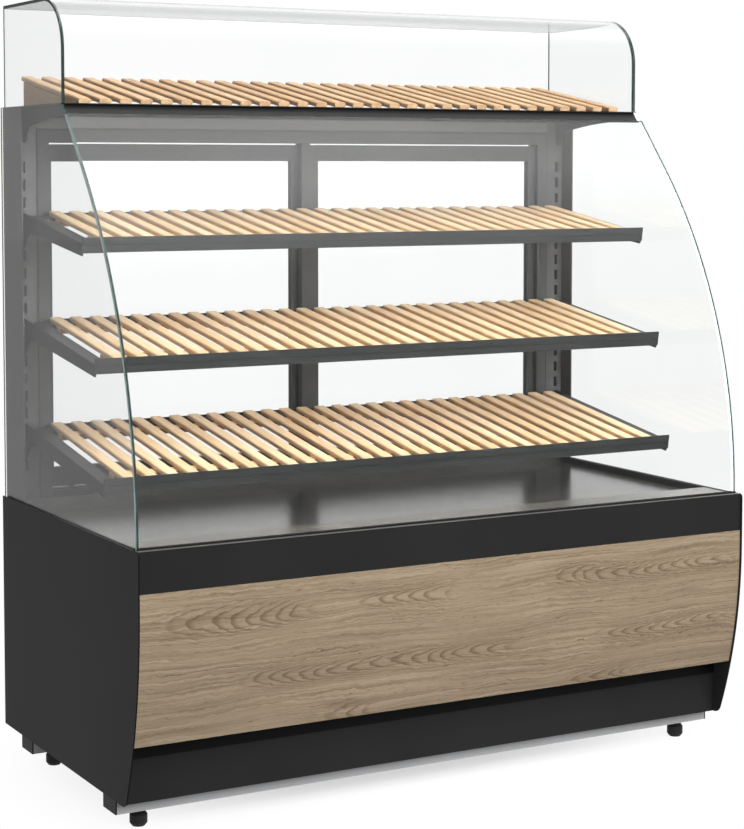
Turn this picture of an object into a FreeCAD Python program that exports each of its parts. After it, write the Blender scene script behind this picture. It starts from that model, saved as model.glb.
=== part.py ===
import FreeCAD, Part
import math
import os

import Sketcher

# Bread display case: a closed base on two rails and four feet, a glazed case with sliding rear doors, three
# sloping shelves of wooden slats on slotted uprights, and a glass hood over a fourth grid on the top shelf.
# Millimetres; the origin is on the floor under the middle of the case, +Y runs to the rear and +Z up.

SIZES = {
    # whole case
    "case_width": 1340,
    "case_depth": 718,
    "base_height": 473,
    "glass_height": 792,
    "hood_height": 203,
    "overrun": 5,
    # levelling feet and their inserts
    "foot_height": 35,
    "foot_knob_height": 27,
    "foot_diameter": 33,
    "foot_face_diameter": 24,
    "foot_chamfer_height": 6,
    "foot_stem_diameter": 10,
    "foot_stem_length": 45,
    "foot_end_distance": 57,
    "foot_bore_clearance": 0.05,
    "foot_hole_clearance": 2,
    "insert_diameter": 18,
    # base rails and end caps
    "rail_width": 60,
    "rail_height": 25,
    "rail_wall": 2,
    "rail_front_distance": 145,
    "rail_rear_distance": 132,
    "cap_thickness": 3,
    "cap_plug_depth": 8,
    "cap_plug_clearance": 0.3,
    # side panels, floor, plinth and rear panel
    "side_sheet": 2.5,
    "side_corner_radius": 8,
    "side_toe_radius": 20,
    "side_curve_radius": 1000,
    "side_curve_drop": 110,
    "floor_sheet": 2,
    "plinth_sheet": 2,
    "plinth_setback": 86,
    "rear_sheet": 2,
    "rear_inset": 3,
    "screw_head_diameter": 8,
    "screw_head_height": 2,
    "screw_shank_diameter": 3.5,
    "screw_length": 8,
    "screw_clearance": 0.2,
    # front band, wood panel and the strip under it
    "front_reveal": 4,
    "band_height": 76,
    "band_sheet": 2,
    "band_return": 14,
    "wood_height": 280,
    "wood_thickness": 16,
    "strip_height": 35,
    "strip_sheet": 2,
    "strip_edge_inset": 3,
    # display deck
    "deck_sheet": 1.5,
    "deck_drop": 15,
    "deck_front_rim": 84,
    "deck_post_gap": 2,
    "deck_edge_gap": 0.5,
    # fixed glass and what holds it
    "glass_thickness": 6,
    "glass_side_inset": 5,
    "glass_front_inset": 19,
    "glass_straight_length": 162,
    "glass_curve_angle": 40,
    "glass_sink": 8,
    "bond_gap": 0.3,
    "gasket_wall": 3,
    "gasket_stand": 3,
    "channel_height": 27,
    "channel_wall": 3,
    "channel_base": 2,
    # slotted uprights
    "post_width": 45.5,
    "post_setback": 73,
    "post_wall": 2,
    "post_leg_sheet": 2.5,
    "post_leg_reach": 40,
    "post_glass_gap": 0.5,
    "slot_width": 8,
    "slot_height": 22,
    "slot_count": 18,
    "slot_first_height": 58,
    "slot_top_gap": 110,
    "slot_edge_distance": 18,
    # top shelf and its brackets
    "shelf_sheet": 2,
    "shelf_rail_height": 25,
    "shelf_rail_return": 16,
    "shelf_lip": 9,
    "shelf_glass_gap": 18,
    "gusset_sheet": 2.5,
    "gusset_front_gap": 15,
    "gusset_front_height": 20,
    "gusset_drop": 20,
    "gusset_plate_height": 69,
    "gusset_plate_reach": 18,
    "gusset_plate_slope": 17,
    # fixed door frame
    "beam_height": 24,
    "beam_wall": 2,
    "beam_gap": 19,
    "frame_rear_inset": 12.5,
    "frame_lip": 9.5,
    "track_pitch": 25,
    "track_fin": 2,
    "track_web": 3,
    "head_height": 26,
    "jamb_reach": 26,
    "jamb_fin_reach": 12,
    "jamb_web": 2,
    "sill_web": 3,
    "sill_height": 12,
    "sill_rail": 4,
    # sliding doors
    "door_thickness": 18,
    "door_overlap": 28,
    "door_stop_gap": 2,
    "door_head_gap": 3,
    "door_sill_gap": 4,
    "stile_width": 40,
    "top_rail_height": 35,
    "bottom_rail_height": 40,
    "pane_thickness": 4,
    "pane_slot_depth": 8,
    "pane_clearance": 0.3,
    "pane_edge_gap": 0.8,
    "roller_diameter": 18,
    "roller_width": 8,
    "roller_inset": 80,
    "roller_rail_gap": 0.3,
    "roller_side_gap": 1,
    "roller_top_gap": 2.7,
    "axle_diameter": 5,
    "axle_inset": 1,
    "axle_clearance": 0.05,
    "guide_length": 18,
    "guide_clearance": 1,
    "guide_height": 16,
    "guide_inset": 2,
    "pull_width": 16,
    "pull_height": 110,
    "pull_depth": 10,
    "pull_wall": 1.5,
    "pull_flange": 3,
    "pull_flange_thickness": 1.2,
    "pull_slot_gap": 2,
    "pull_centre_height": 300,
    "pull_clearance": 0.2,
    # shelves
    "shelf_tilt": 9,
    "shelf_rear_gap": 42.5,
    "shelf_slot_drop": 30,
    "rail_overhang": 1,
    "upper_shelf_reach": 289,
    "middle_shelf_reach": 350,
    "lower_shelf_reach": 390,
    "rail_lip": 1.5,
    "rail_depth": 29.5,
    "rail_sheet": 3,
    "rail_ledge": 25,
    "rail_ledge_sheet": 2,
    "rail_groove_drop": 14,
    "rail_groove_height": 2,
    "rail_groove_depth": 1.5,
    "rear_rail_gap": 2.5,
    "rear_rail_drop": 4.5,
    "rear_rail_width": 35,
    "rear_rail_height": 20,
    "bracket_sheet": 3,
    "bracket_tip_height": 34,
    "bracket_arm_height": 42,
    "bracket_heel_margin": 10.6,
    "bracket_heel_reach": 34,
    "bracket_ledge_width": 25,
    "bracket_ledge_sheet": 2,
    "bracket_post_gap": 0.3,
    "hook_height": 14,
    "hook_tooth": 3,
    "hook_drop": 6,
    "hook_clearance": 0.3,
    # wooden grids
    "slat_width": 24,
    "slat_thickness": 10,
    "slat_chamfer": 2,
    "slat_end_gap": 0.5,
    "shelf_slat_count": 29,
    "shelf_slat_side_gap": 36,
    "top_slat_count": 30,
    "top_slat_side_gap": 31,
    "batten_width": 25,
    "batten_thickness": 10,
    "batten_rear_distance": 37,
    "batten_front_distance": 50,
    # hood and top grid
    "hood_side_inset": 3,
    "hood_setback": 8,
    "hood_rear_inset": 14,
    "hood_bend_radius": 100,
    "top_grid_tilt": 9.8,
    "top_grid_front_gap": 9,
    "top_grid_rear_inset": 24,
    "board_thickness": 18,
    "board_front_gap": 14,
    "board_rear_gap": 12,
}

# slots that carry the three shelves, counted from the lowest one, and heights of the rear screws on the panel
LOWER_SLOT = 2
SLOTS_PER_STEP = 6
SCREW_HEIGHT_SHARES = (0.12, 0.5, 0.88)

# place of the front batten along the top grid
TOP_BATTEN_SHARE = 0.33


class Size:
    """A size as its number now and as the expression of sheet cells that gives it."""

    def __init__(self, value, text):
        self.value = float(value)
        self.text = text

    def joined(self, other, sign, value):
        """This size and another joined by an arithmetic sign."""
        return Size(value, "(%s %s %s)" % (self.text, sign, other.text))

    def __add__(self, other):
        other = as_size(other)
        return self.joined(other, "+", self.value + other.value)

    def __sub__(self, other):
        other = as_size(other)
        return self.joined(other, "-", self.value - other.value)

    def __mul__(self, other):
        other = as_size(other)
        return self.joined(other, "*", self.value * other.value)

    def __truediv__(self, other):
        other = as_size(other)
        return self.joined(other, "/", self.value / other.value)

    def __rmul__(self, other):
        return as_size(other) * self

    def __neg__(self):
        return Size(-self.value, "(0 - %s)" % self.text)


def as_size(number):
    """A plain count or share as a size."""
    if isinstance(number, Size):
        return number
    return Size(number, "(%r)" % number)


def root(area):
    """Square root of a size product."""
    return Size(math.sqrt(area.value), "sqrt(%s)" % area.text)


def sine(angle):
    """Sine of an angle in degrees."""
    return Size(math.sin(math.radians(angle.value)), "sin(%s)" % angle.text)


def cosine(angle):
    """Cosine of an angle in degrees."""
    return Size(math.cos(math.radians(angle.value)), "cos(%s)" % angle.text)


def tangent(angle):
    """Tangent of an angle in degrees."""
    return Size(math.tan(math.radians(angle.value)), "tan(%s)" % angle.text)


class Cells:
    """The sheet's cells by name, each as a size."""

    def __init__(self, sheet):
        self.sheet = sheet

    def __getattr__(self, name):
        return Size(self.sheet.get(name), "%s.%s" % (self.sheet.Name, name))


document = FreeCAD.newDocument("bread_display_case")
dims = document.addObject("Spreadsheet::Sheet", "dims")
for row, (alias, number) in enumerate(SIZES.items(), start=1):
    dims.set("A%d" % row, alias)
    dims.set("B%d" % row, str(number))
    dims.setAlias("B%d" % row, alias)
document.recompute()
size = Cells(dims)
zero = as_size(0)
nodes = []

# levels and planes of the whole case
half_width = size.case_width / 2
front = -size.case_depth / 2
rear = size.case_depth / 2
rail_bottom = size.foot_height
rail_top = rail_bottom + size.rail_height
base_top = rail_top + size.base_height
shelf_top = base_top + size.glass_height
hood_top = shelf_top + size.hood_height
inside = half_width - size.side_sheet

# base front: the curve of the side panels, followed by the wood panel a little further in
curve_top = base_top - size.side_curve_drop
curve_centre = front + size.side_curve_radius
face = front + size.front_reveal
wood_top = base_top - size.band_height
wood_bottom = wood_top - size.wood_height
plinth_front = front + size.plinth_setback
rear_face = rear - size.rear_inset
rear_inner = rear_face - size.rear_sheet

# fixed glass
pane_outer = half_width - size.glass_side_inset
pane_inner = pane_outer - size.glass_thickness
glass_front = front + size.glass_front_inset
glass_back = glass_front + size.glass_thickness
glass_bottom = base_top - size.glass_sink
glass_curve_start = base_top + size.gasket_stand
shelf_under = shelf_top - size.shelf_sheet
glass_end = shelf_under - size.shelf_glass_gap
glass_straight_rise = size.glass_straight_length * cosine(size.glass_curve_angle)
glass_bend_rise = shelf_under - glass_curve_start - glass_straight_rise
glass_radius = glass_bend_rise / sine(size.glass_curve_angle)
glass_centre = glass_front + glass_radius
gasket_front = glass_front - size.gasket_wall
gasket_back = glass_back + size.gasket_wall
gasket_bottom = glass_bottom - size.gasket_wall
deck_lip = gasket_back + size.bond_gap
gutter_back = deck_lip + size.deck_sheet
channel_bottom = base_top - size.channel_height
pane_bottom = channel_bottom + size.channel_base
pane_front = gutter_back + size.bond_gap

# uprights and door frame
post_outer = pane_inner - size.post_glass_gap
post_inner = post_outer - size.post_width
post_front = rear - size.post_setback
beam_top = shelf_under - size.beam_gap
head_top = beam_top - size.beam_height
head_bottom = head_top - size.head_height
fin_half = size.track_fin / 2
frame_rear = rear_face - size.frame_rear_inset
fin_middle = frame_rear - fin_half - size.track_pitch
front_track = fin_middle - size.track_pitch / 2
rear_track = fin_middle + size.track_pitch / 2
front_lip_back = fin_middle - size.track_pitch + fin_half
frame_front = front_lip_back - size.frame_lip
jamb_edge = post_inner - size.jamb_reach

# doors
sill_top = base_top + size.sill_height
door_bottom = sill_top + size.door_sill_gap
door_top = head_bottom - size.door_head_gap
door_height = door_top - door_bottom
door_edge = post_inner - size.jamb_web - size.door_stop_gap
door_width = door_edge + size.door_overlap / 2
roller_centre = sill_top + size.roller_rail_gap + size.roller_diameter / 2

# top shelf behind the front glass, with the hood and the top grid on it
hood_half = pane_outer - size.hood_side_inset
hood_rear = rear - size.hood_rear_inset

# shelves hang on the slots
shelf_rear = post_front - size.shelf_rear_gap
bracket_outer = post_outer - size.slot_edge_distance + size.bracket_sheet / 2
bracket_inner = bracket_outer - size.bracket_sheet
slot_run = size.glass_height - size.slot_first_height - size.slot_height - size.slot_top_gap
slot_pitch = slot_run / (size.slot_count - 1)
shelf_grid_half = bracket_inner - size.shelf_slat_side_gap


def place(piece, x, y, z, tilt=None):
    """Set a piece down at a point, turned about X by a tilt where one is given."""
    degrees = tilt.value if tilt else 0
    turn = FreeCAD.Rotation(FreeCAD.Vector(1, 0, 0), degrees)
    piece.Placement = FreeCAD.Placement(FreeCAD.Vector(x.value, y.value, z.value), turn)
    for axis, distance in zip("xyz", (x, y, z)):
        piece.setExpression("Placement.Base." + axis, distance.text)
    if tilt:
        piece.setExpression("Placement.Rotation.Angle", tilt.text)


def node(piece, label):
    """Name a finished sub-part."""
    piece.Label = label
    nodes.append(piece)
    return piece


def both_ways(half):
    """A span as far to the left of the middle as to the right."""
    return (-half, half)


def on_side(side, inner, outer):
    """A span between two distances from the middle, on the left (-1) or the right (1)."""
    if side < 0:
        return (-outer, -inner)
    return (inner, outer)


def box(name, across, along, up):
    """A block between two planes each way."""
    piece = document.addObject("Part::Box", name)
    for prop, span in zip(("Length", "Width", "Height"), (across, along, up)):
        piece.setExpression(prop, (span[1] - span[0]).text)
    place(piece, across[0], along[0], up[0])
    return piece


def rod(name, radius, length, x, y, z):
    """An upright cylinder on a point."""
    piece = document.addObject("Part::Cylinder", name)
    piece.setExpression("Radius", radius.text)
    piece.setExpression("Height", length.text)
    place(piece, x, y, z)
    return piece


def cross_rod(name, radius, length, x, y, z):
    """A cylinder that runs to the rear from a point."""
    piece = rod(name, radius, length, x, y, z)
    piece.Placement.Rotation = FreeCAD.Rotation(FreeCAD.Vector(1, 0, 0), -90)
    return piece


def group(name, pieces):
    """Separate solids that share one sub-part."""
    piece = document.addObject("Part::Compound", name)
    piece.Links = pieces
    return piece


def fused(name, pieces):
    """Pieces made as one solid."""
    piece = document.addObject("Part::MultiFuse", name)
    piece.Shapes = pieces
    return piece


def cut(name, base, tool):
    """A piece with another taken out of it."""
    piece = document.addObject("Part::Cut", name)
    piece.Base = base
    piece.Tool = tool
    return piece


def shared(name, pieces):
    """What two pieces have in common."""
    piece = document.addObject("Part::MultiCommon", name)
    piece.Shapes = pieces
    return piece


def edge_between(begin, end):
    """The sketch edge between two corners, with the numbers of its start and end point.

    A corner's third value is the radius of the arc that arrives there: plus turns left, minus turns right.
    """
    tail = FreeCAD.Vector(begin[0].value, begin[1].value, 0)
    tip = FreeCAD.Vector(end[0].value, end[1].value, 0)
    if len(end) == 2:
        return Part.LineSegment(tail, tip), 1, 2
    bend = end[2].value
    chord = tip - tail
    left = FreeCAD.Vector(-chord.y, chord.x, 0).normalize()
    rise = math.sqrt(bend * bend - chord.Length * chord.Length / 4)
    centre = (tail + tip) * 0.5 + left * math.copysign(rise, bend)
    circle = Part.Circle(centre, FreeCAD.Vector(0, 0, 1), abs(bend))
    tail_angle = math.atan2(tail.y - centre.y, tail.x - centre.x)
    tip_angle = math.atan2(tip.y - centre.y, tip.x - centre.x)
    if bend > 0:
        return Part.ArcOfCircle(circle, tail_angle, tip_angle), 1, 2
    return Part.ArcOfCircle(circle, tip_angle, tail_angle), 2, 1


def draw_loop(sketch, corners):
    """Draw one closed outline, each corner held by its distances from the origin."""
    first = sketch.GeometryCount
    edges = [edge_between(corners[index - 1], corner) for index, corner in enumerate(corners)]
    sketch.addGeometry([edge[0] for edge in edges], False)
    held = []
    texts = []
    for index, corner in enumerate(corners):
        here = first + index
        after = first + (index + 1) % len(corners)
        tip = edges[index][2]
        held.append(Sketcher.Constraint("Coincident", here, tip, after, edges[after - first][1]))
        texts.append(None)
        held.append(Sketcher.Constraint("DistanceX", -1, 1, here, tip, corner[0].value))
        texts.append(corner[0].text)
        held.append(Sketcher.Constraint("DistanceY", -1, 1, here, tip, corner[1].value))
        texts.append(corner[1].text)
        if len(corner) == 3:
            held.append(Sketcher.Constraint("Radius", here, abs(corner[2].value)))
            texts.append("abs(%s)" % corner[2].text)
    start = sketch.ConstraintCount
    sketch.addConstraint(held)
    for index, text in enumerate(texts):
        if text:
            sketch.setExpression("Constraints[%d]" % (start + index), text)


def sketch_on(body, plane, loops):
    """A sketch of closed outlines on one of the body's own planes."""
    sketch = body.newObject("Sketcher::SketchObject", "outline")
    support = [feature for feature in body.Origin.OriginFeatures if feature.Role == plane][0]
    sketch.AttachmentSupport = [(support, "")]
    sketch.MapMode = "FlatFace"
    for corners in loops:
        draw_loop(sketch, corners)
    return sketch


def padded(name, plane, loops, length, reverse=False):
    """A body padded from outlines on a plane."""
    body = document.addObject("PartDesign::Body", name)
    pad = body.newObject("PartDesign::Pad", "pad")
    pad.Profile = sketch_on(body, plane, loops)
    pad.setExpression("Length", length.text)
    pad.Reversed = reverse
    body.Tip = pad
    return body


def bar(name, loops, across):
    """A body of constant section in Y and Z that runs across the case."""
    body = padded(name, "YZ_Plane", loops, across[1] - across[0])
    place(body, across[0], zero, zero)
    return body


def turned(name, plane, corners):
    """A body turned about the sketch's upright axis from half its outline."""
    body = document.addObject("PartDesign::Body", name)
    turn = body.newObject("PartDesign::Revolution", "turn")
    sketch = sketch_on(body, plane, [corners])
    turn.Profile = sketch
    turn.ReferenceAxis = (sketch, ["V_Axis"])
    turn.Angle = 360
    body.Tip = turn
    return body


def rectangle(along, up):
    """The four corners of a rectangle between two planes each way."""
    return [(along[0], up[0]), (along[1], up[0]), (along[1], up[1]), (along[0], up[1])]


def inset_span(span, wall):
    """A span made smaller by a wall at both ends."""
    return (span[0] + wall, span[1] - wall)


def comb(teeth, back, web):
    """Outline of a web with teeth: each tooth is its span along the web and its tip level."""
    corners = [(teeth[0][0], back)]
    for index, (begin, end, tip) in enumerate(teeth):
        if index:
            corners.append((begin, web))
        corners.append((begin, tip))
        corners.append((end, tip))
        if index < len(teeth) - 1:
            corners.append((end, web))
    corners.append((teeth[-1][1], back))
    return corners


def foot_places():
    """Name, X and Y of the four feet, on the middles of the rails."""
    rails = (("front", front + size.rail_front_distance), ("rear", rear - size.rail_rear_distance))
    foot_x = half_width - size.foot_end_distance
    sides = (("left", -foot_x), ("right", foot_x))
    return [(row + "_" + hand, x, y) for row, y in rails for hand, x in sides]


def stem_rods(name, radius, bottom, height):
    """Four upright cylinders on the feet's axes."""
    rods = [rod(name, radius, height, x, y, bottom) for _, x, y in foot_places()]
    return group(name, rods)


def base_rails():
    """Two flat tubes under the base, with their end caps, foot inserts and feet."""
    stem = size.foot_stem_diameter / 2
    tubes = []
    caps = []
    for middle in (front + size.rail_front_distance, rear - size.rail_rear_distance):
        along = (middle - size.rail_width / 2, middle + size.rail_width / 2)
        up = (rail_bottom, rail_top)
        loops = [rectangle(along, up)]
        loops.append(rectangle(inset_span(along, size.rail_wall), inset_span(up, size.rail_wall)))
        tubes.append(bar("rail_tube", loops, both_ways(half_width - size.cap_thickness)))
        plug_wall = size.rail_wall + size.cap_plug_clearance
        plug_start = half_width - size.cap_thickness - size.cap_plug_depth
        for side in (-1, 1):
            plate = box("cap_plate", on_side(side, half_width - size.cap_thickness, half_width), along, up)
            plug_across = on_side(side, plug_start, half_width - size.cap_thickness)
            plug = box("cap_plug", plug_across, inset_span(along, plug_wall), inset_span(up, plug_wall))
            caps.append(fused("cap", [plate, plug]))
    holes = stem_rods("rail_hole", stem + size.foot_hole_clearance, rail_bottom - size.overrun,
                      size.rail_height + size.overrun * 2)
    node(cut("drilled_rails", group("rail_pair", tubes), holes), "base_rails")
    node(group("caps", caps), "rail_end_caps")
    insert_bottom = rail_bottom + size.rail_wall
    insert_height = size.rail_height - size.rail_wall * 2
    inserts = stem_rods("insert", size.insert_diameter / 2, insert_bottom, insert_height)
    bores = stem_rods("insert_bore", stem + size.foot_bore_clearance, rail_bottom, size.rail_height)
    node(cut("bored_inserts", inserts, bores), "foot_inserts")


def feet():
    """Four levelling feet: a knob with chamfered ends on a stem that shows a little under the rail."""
    stem = size.foot_stem_diameter / 2
    wide = size.foot_diameter / 2
    flat = size.foot_face_diameter / 2
    stem_top = size.foot_height + size.foot_stem_length
    corners = [
        (zero, zero),
        (flat, zero),
        (wide, size.foot_chamfer_height),
        (wide, size.foot_knob_height - size.foot_chamfer_height),
        (flat, size.foot_knob_height),
        (stem, size.foot_knob_height),
        (stem, stem_top),
        (zero, stem_top),
    ]
    for where, x, y in foot_places():
        foot = turned("foot", "XZ_Plane", corners)
        place(foot, x, y, zero)
        node(foot, "foot_" + where)


def base_floor():
    """Bottom sheet of the base, drilled for the foot stems."""
    sheet = box("floor_sheet", both_ways(inside), (plinth_front + size.plinth_sheet, rear_inner),
                (rail_top, rail_top + size.floor_sheet))
    radius = size.foot_stem_diameter / 2 + size.foot_hole_clearance
    holes = stem_rods("floor_hole", radius, rail_top - size.overrun, size.floor_sheet + size.overrun * 2)
    node(cut("drilled_floor", sheet, holes), "base_floor")


def side_panels():
    """Side sheets whose front edge runs down straight and then curves back to a rounded toe."""
    corner = size.side_corner_radius
    toe = size.side_toe_radius
    curve = size.side_curve_radius
    toe_share = toe / curve
    toe_top = (rail_top + toe - toe_share * curve_top) / (as_size(1) - toe_share)
    fall = curve_top - toe_top
    reach = root(curve * curve - fall * fall)
    toe_front = curve_centre - reach
    corners = [
        (rear, rail_top),
        (rear, base_top),
        (front + corner, base_top),
        (front, base_top - corner, corner),
        (front, curve_top),
        (toe_front, toe_top, curve),
        (toe_front + toe * reach / curve, rail_top, toe),
    ]
    for side, hand in ((-1, "left"), (1, "right")):
        node(bar("side_panel", [corners], on_side(side, inside, half_width)), "side_panel_" + hand)


def front_panels():
    """Band with its ledge and glass gutter, curved wood panel, support strip and plinth."""
    sheet = size.band_sheet
    band = [
        (face, wood_top),
        (face + size.band_return, wood_top),
        (face + size.band_return, wood_top + sheet),
        (face + sheet, wood_top + sheet),
        (face + sheet, base_top - sheet),
        (gasket_front - sheet, base_top - sheet),
        (gasket_front - sheet, gasket_bottom - sheet),
        (gutter_back, gasket_bottom - sheet),
        (gutter_back, gasket_bottom),
        (gasket_front, gasket_bottom),
        (gasket_front, base_top),
        (face, base_top),
    ]
    node(bar("band", [band], both_ways(inside)), "front_band")
    outer = size.side_curve_radius - size.front_reveal
    inner = outer - size.wood_thickness
    fall = curve_top - wood_bottom
    outer_foot = curve_centre - root(outer * outer - fall * fall)
    inner_foot = curve_centre - root(inner * inner - fall * fall)
    wood = [
        (face + size.wood_thickness, wood_top),
        (face, wood_top),
        (face, curve_top),
        (outer_foot, wood_bottom, outer),
        (inner_foot, wood_bottom),
        (face + size.wood_thickness, curve_top, -inner),
    ]
    node(bar("wood", [wood], both_ways(inside)), "wood_front_panel")
    strip_sheet = size.strip_sheet
    strip = [
        (outer_foot + size.strip_edge_inset, wood_bottom),
        (outer_foot + size.strip_edge_inset, wood_bottom - strip_sheet),
        (plinth_front - strip_sheet, wood_bottom - strip_sheet),
        (plinth_front - strip_sheet, wood_bottom - size.strip_height),
        (plinth_front, wood_bottom - size.strip_height),
        (plinth_front, wood_bottom),
    ]
    node(bar("strip", [strip], both_ways(inside)), "panel_support_strip")
    plinth = box("plinth", both_ways(inside), (plinth_front, plinth_front + size.plinth_sheet),
                 (rail_top, wood_bottom))
    node(plinth, "plinth_panel")


def screw_places():
    """X and Z of the screws that hold the rear panel to the uprights."""
    x = (post_inner + post_outer) / 2
    levels = [rail_top + size.base_height * share for share in SCREW_HEIGHT_SHARES]
    return [(across, level) for level in levels for across in (-x, x)]


def screw_holes(name):
    """Clearance holes for the rear screws, through the panel and the upright's rear wall."""
    radius = size.screw_shank_diameter / 2 + size.screw_clearance
    start = rear_face - size.screw_length - size.overrun
    length = size.screw_length + size.overrun * 2
    return group(name, [cross_rod("screw_hole", radius, length, x, start, z) for x, z in screw_places()])


def rear_base():
    """Rear sheet of the base and its pan-head screws."""
    sheet = box("rear_sheet", both_ways(inside), (rear_inner, rear_face), (rail_top, channel_bottom))
    node(cut("drilled_rear_sheet", sheet, screw_holes("rear_holes")), "rear_base_panel")
    screws = []
    for x, z in screw_places():
        shank = cross_rod("shank", size.screw_shank_diameter / 2, size.screw_length, x,
                          rear_face - size.screw_length, z)
        head = cross_rod("head", size.screw_head_diameter / 2, size.screw_head_height, x, rear_face, z)
        screws.append(fused("screw", [shank, head]))
    node(group("screws", screws), "rear_panel_screws")


def display_deck():
    """Shallow steel tray: a rim behind the glass, flanged skirts, a folded rear rim under the doors."""
    sheet = size.deck_sheet
    tray = (glass_back + size.deck_front_rim, post_front - size.deck_post_gap)
    bottom = base_top - size.deck_drop
    rim = (base_top - sheet, base_top)
    half = pane_inner - size.bond_gap - size.channel_wall - size.deck_edge_gap
    across = both_ways(half)
    rear_across = both_ways(post_inner - size.deck_edge_gap)
    walls = [
        box("deck_floor", across, tray, (bottom, bottom + sheet)),
        box("deck_front", across, (tray[0], tray[0] + sheet), (bottom, base_top)),
        box("deck_rear", across, (tray[1] - sheet, tray[1]), (bottom, base_top)),
        box("deck_front_rim", across, (deck_lip, tray[0] + sheet), rim),
        box("deck_front_lip", across, (deck_lip, deck_lip + sheet), (gasket_bottom, base_top)),
        box("deck_rear_rim", rear_across, (tray[1] - sheet, rear_face), rim),
        box("deck_rear_lip", rear_across, (rear_face - sheet, rear_face),
            (channel_bottom + size.deck_edge_gap, base_top)),
    ]
    flange = (channel_bottom - sheet, channel_bottom)
    skirt = (channel_bottom - sheet, bottom + sheet)
    flange_along = (pane_front, tray[1])
    for side in (-1, 1):
        walls.append(box("deck_skirt", on_side(side, half - sheet, half), tray, skirt))
        walls.append(box("deck_flange", on_side(side, half - sheet, inside), flange_along, flange))
    node(fused("deck", walls), "display_deck")


def glass_seats():
    """Rubber gasket under the front glass and steel channels under the side panes."""
    lips = [(gasket_front, glass_front, glass_curve_start), (glass_back, gasket_back, glass_curve_start)]
    gasket = comb(lips, gasket_bottom, glass_bottom)
    node(bar("gasket", [gasket], both_ways(pane_outer)), "front_glass_gasket")
    slot_inner = pane_inner - size.bond_gap
    slot_outer = pane_outer + size.bond_gap
    teeth = [(slot_inner - size.channel_wall, slot_inner, base_top), (slot_outer, inside, base_top)]
    section = comb(teeth, channel_bottom, pane_bottom)
    channels = []
    for side in (-1, 1):
        mirrored = [(side * x, z) for x, z in section]
        length = post_front - size.deck_post_gap - pane_front
        channel = padded("channel", "XZ_Plane", [mirrored], length, reverse=True)
        place(channel, zero, pane_front, zero)
        channels.append(channel)
    node(group("channels", channels), "side_glass_channels")


def glass_point(offset):
    """Where the front glass's curve ends, a distance in from its outer face."""
    radius = glass_radius - offset
    angle = size.glass_curve_angle
    return (glass_centre - radius * cosine(angle), glass_curve_start + radius * sine(angle))


def glass_line(offset, z):
    """Y of the straight upper part of the front glass at a level, a distance in from its outer face."""
    start = glass_point(offset)
    return start[0] + (z - start[1]) * tangent(size.glass_curve_angle)


def shelf_lip_front():
    """Y of the front edge of the top shelf's lip, over the upper edge of the front glass."""
    return glass_line(size.glass_thickness + size.bond_gap, shelf_under) - size.shelf_lip


def hood_front():
    """Y of the outer face of the hood, a little behind the shelf's front edge."""
    return shelf_lip_front() + size.hood_setback


def main_glass():
    """Bent front pane, standing in the gasket, and flat side panes behind it."""
    thickness = size.glass_thickness
    angle = size.glass_curve_angle
    end_y = glass_line(zero, glass_end)
    inner_bend = glass_point(thickness)
    outer_bend = glass_point(zero)
    pane = [
        (glass_front, glass_bottom),
        (glass_back, glass_bottom),
        (glass_back, glass_curve_start),
        (inner_bend[0], inner_bend[1], thickness - glass_radius),
        (end_y + thickness * cosine(angle), glass_end - thickness * sine(angle)),
        (end_y, glass_end),
        outer_bend,
        (glass_front, glass_curve_start, glass_radius),
    ]
    node(bar("front_pane", [pane], both_ways(pane_outer)), "front_glass")
    gap = thickness + size.bond_gap
    side_top = shelf_top - size.bond_gap
    side_pane = [
        (rear, pane_bottom),
        (rear, side_top),
        (glass_line(gap, side_top), side_top),
        glass_point(gap),
        (glass_front + gap, glass_curve_start, glass_radius - gap),
        (pane_front, glass_curve_start),
        (pane_front, pane_bottom),
    ]
    for side, hand in ((-1, "left"), (1, "right")):
        node(bar("side_pane", [side_pane], on_side(side, pane_inner, pane_outer)), "side_glass_" + hand)


def uprights():
    """Tube posts with slots in the front wall, holes for the rear screws and a leg along the side glass."""
    bottom = rail_top + size.floor_sheet
    across = (zero, size.post_width)
    along = (zero, rear_inner - post_front)
    loops = [rectangle(across, along)]
    loops.append(rectangle(inset_span(across, size.post_wall), inset_span(along, size.post_wall)))
    slot_bottom = base_top + size.slot_first_height - bottom
    slot_levels = (slot_bottom, slot_bottom + size.slot_height)
    for side, hand in ((-1, "left"), (1, "right")):
        post = padded("post", "XY_Plane", loops, shelf_under - bottom)
        slot_x = size.slot_edge_distance if side < 0 else size.post_width - size.slot_edge_distance
        slot = rectangle((slot_x - size.slot_width / 2, slot_x + size.slot_width / 2), slot_levels)
        slot_sketch = sketch_on(post, "XZ_Plane", [slot])
        pocket = post.newObject("PartDesign::Pocket", "slot")
        pocket.Profile = slot_sketch
        pocket.setExpression("Length", (size.post_wall + size.overrun).text)
        row = post.newObject("PartDesign::LinearPattern", "slots")
        row.Originals = [pocket]
        row.Direction = (slot_sketch, ["V_Axis"])
        row.Mode = "Spacing"
        row.setExpression("Offset", slot_pitch.text)
        row.setExpression("Occurrences", size.slot_count.text)
        post.Tip = row
        place(post, on_side(side, post_inner, post_outer)[0], post_front, bottom)
        drilled = cut("drilled_post", post, screw_holes("post_holes"))
        leg = box("post_leg", on_side(side, post_outer - size.post_leg_sheet, post_outer),
                  (post_front - size.post_leg_reach, post_front), (base_top, shelf_under))
        node(fused("legged_post", [drilled, leg]), "upright_" + hand)


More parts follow.
